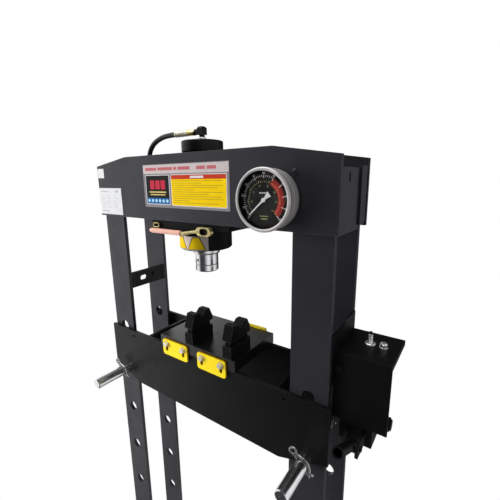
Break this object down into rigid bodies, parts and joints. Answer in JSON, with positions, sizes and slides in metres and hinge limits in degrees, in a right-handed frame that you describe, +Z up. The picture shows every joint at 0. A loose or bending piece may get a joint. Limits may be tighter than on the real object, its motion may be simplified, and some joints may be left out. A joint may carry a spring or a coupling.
{
  "type": "workshop press",
  "caption": "Floor-standing H-frame hydraulic workshop press with ram, pressure gauge, pinned bed, arbor plates and V-blocks.",
  "frame": {"origin": "on the floor, at the centre of the four floor bolt holes, midway between the posts", "axes": "+Z up, +X to the right of a person who faces the press, front faces -Y"},
  "size_m": [0.803, 0.56, 1.809],
  "materials": {
    "anthracite_paint": "satin",
    "black_paint": "satin",
    "yellow_paint": "gloss",
    "polished_steel": "polished",
    "ground_steel": "satin",
    "zinc_plate": "satin",
    "yellow_zinc": "gloss",
    "brass_fitting": "satin",
    "copper_sleeve": "satin",
    "hose_rubber": "satin",
    "gauge_steel": "satin",
    "dial_face": "matt",
    "pointer_white": "satin",
    "clear_glass": "clear",
    "label_print": "satin",
    "cast_block": "satin",
    "knob_plastic": "satin"
  },
  "bodies": {
    "frame": {"beam_front_plate": "anthracite_paint", "beam_rear_plate": "anthracite_paint", "post_front_left": "anthracite_paint", "post_front_right": "anthracite_paint", "post_rear_left": "anthracite_paint", "post_rear_right": "anthracite_paint", "end_plate_left": "anthracite_paint", "end_plate_right": "anthracite_paint", "rear_packing_left": "anthracite_paint", "rear_packing_right": "anthracite_paint", "brace_left": "black_paint", "foot_left": "black_paint", "foot_right": "black_paint", "lower_tie": "black_paint", "bed_front_plate": "black_paint", "bed_rear_plate": "black_paint", "bed_spacer_left": "black_paint", "bed_spacer_right": "black_paint", "arbor_plate_left": "black_paint", "arbor_plate_right": "black_paint", "keeper_front_left": "yellow_paint", "keeper_front_right": "yellow_paint", "keeper_rear_left": "yellow_paint", "keeper_rear_right": "yellow_paint", "keeper_bolts": "zinc_plate", "v_block_left": "black_paint", "v_block_right": "black_paint", "cylinder_carrier": "black_paint", "slide_plate": "black_paint", "tie_bolts": "zinc_plate", "clamp_bar": "black_paint", "cylinder_tube": "black_paint", "cylinder_cap": "black_paint", "cylinder_head": "black_paint", "gland_collar": "zinc_plate", "elbow": "black_paint", "hose_fittings": "brass_fitting", "hose": "hose_rubber", "gauge_case": "gauge_steel", "gauge_bezel": "gauge_steel", "gauge_dial": "dial_face", "gauge_glass": "clear_glass", "label_plates": "label_print", "tank_bracket": "black_paint", "tank_cover": "black_paint", "tank": "black_paint", "tank_caps": "zinc_plate", "pump_block": "cast_block"},
    "ram": {"ram_rod": "polished_steel", "ram_piston": "ground_steel", "ram_tip": "polished_steel"},
    "pointer": {"gauge_pointer": "pointer_white"},
    "clamp": {"clamp_lever": "yellow_zinc", "lever_grip": "copper_sleeve"},
    "pin_l": {"bed_pin_left": "polished_steel", "pin_clip_left": "ground_steel"},
    "pin_r": {"bed_pin_right": "polished_steel", "pin_clip_right": "ground_steel"},
    "rocker": {"pump_rocker": "black_paint"},
    "valve": {"release_knob": "knob_plastic"}
  },
  "joints": [
    {"name": "ram_slide", "type": "slide", "parent": "frame", "child": "ram", "axis": [0, 0, -1], "range_m": [0, 0.085], "stiffness_N_per_m": 2500, "springref_m": -0.04},
    {"name": "gauge_turn", "type": "hinge", "parent": "frame", "child": "pointer", "pos_m": [0.225, -0.119, 1.649], "axis": [0, 1, 0], "range_deg": [0, 270], "stiffness_Nm_per_rad": 0.0005, "springref_deg": -17.19},
    {"name": "clamp_turn", "type": "hinge", "parent": "frame", "child": "clamp", "pos_m": [0.051, -0.082, 1.574], "axis": [0, -1, 0], "range_deg": [0, 75]},
    {"name": "pin_left_draw", "type": "slide", "parent": "frame", "child": "pin_l", "axis": [0, -1, 0], "range_m": [0, 0.2]},
    {"name": "pin_right_draw", "type": "slide", "parent": "frame", "child": "pin_r", "axis": [0, -1, 0], "range_m": [0, 0.2]},
    {"name": "rocker_turn", "type": "hinge", "parent": "frame", "child": "rocker", "pos_m": [0.389, -0.069, 1.19], "axis": [1, 0, 0], "range_deg": [-20, 35]},
    {"name": "valve_turn", "type": "hinge", "parent": "frame", "child": "valve", "pos_m": [0.43, 0.014, 1.2], "axis": [1, 0, 0], "range_deg": [0, 270]}
  ]
}
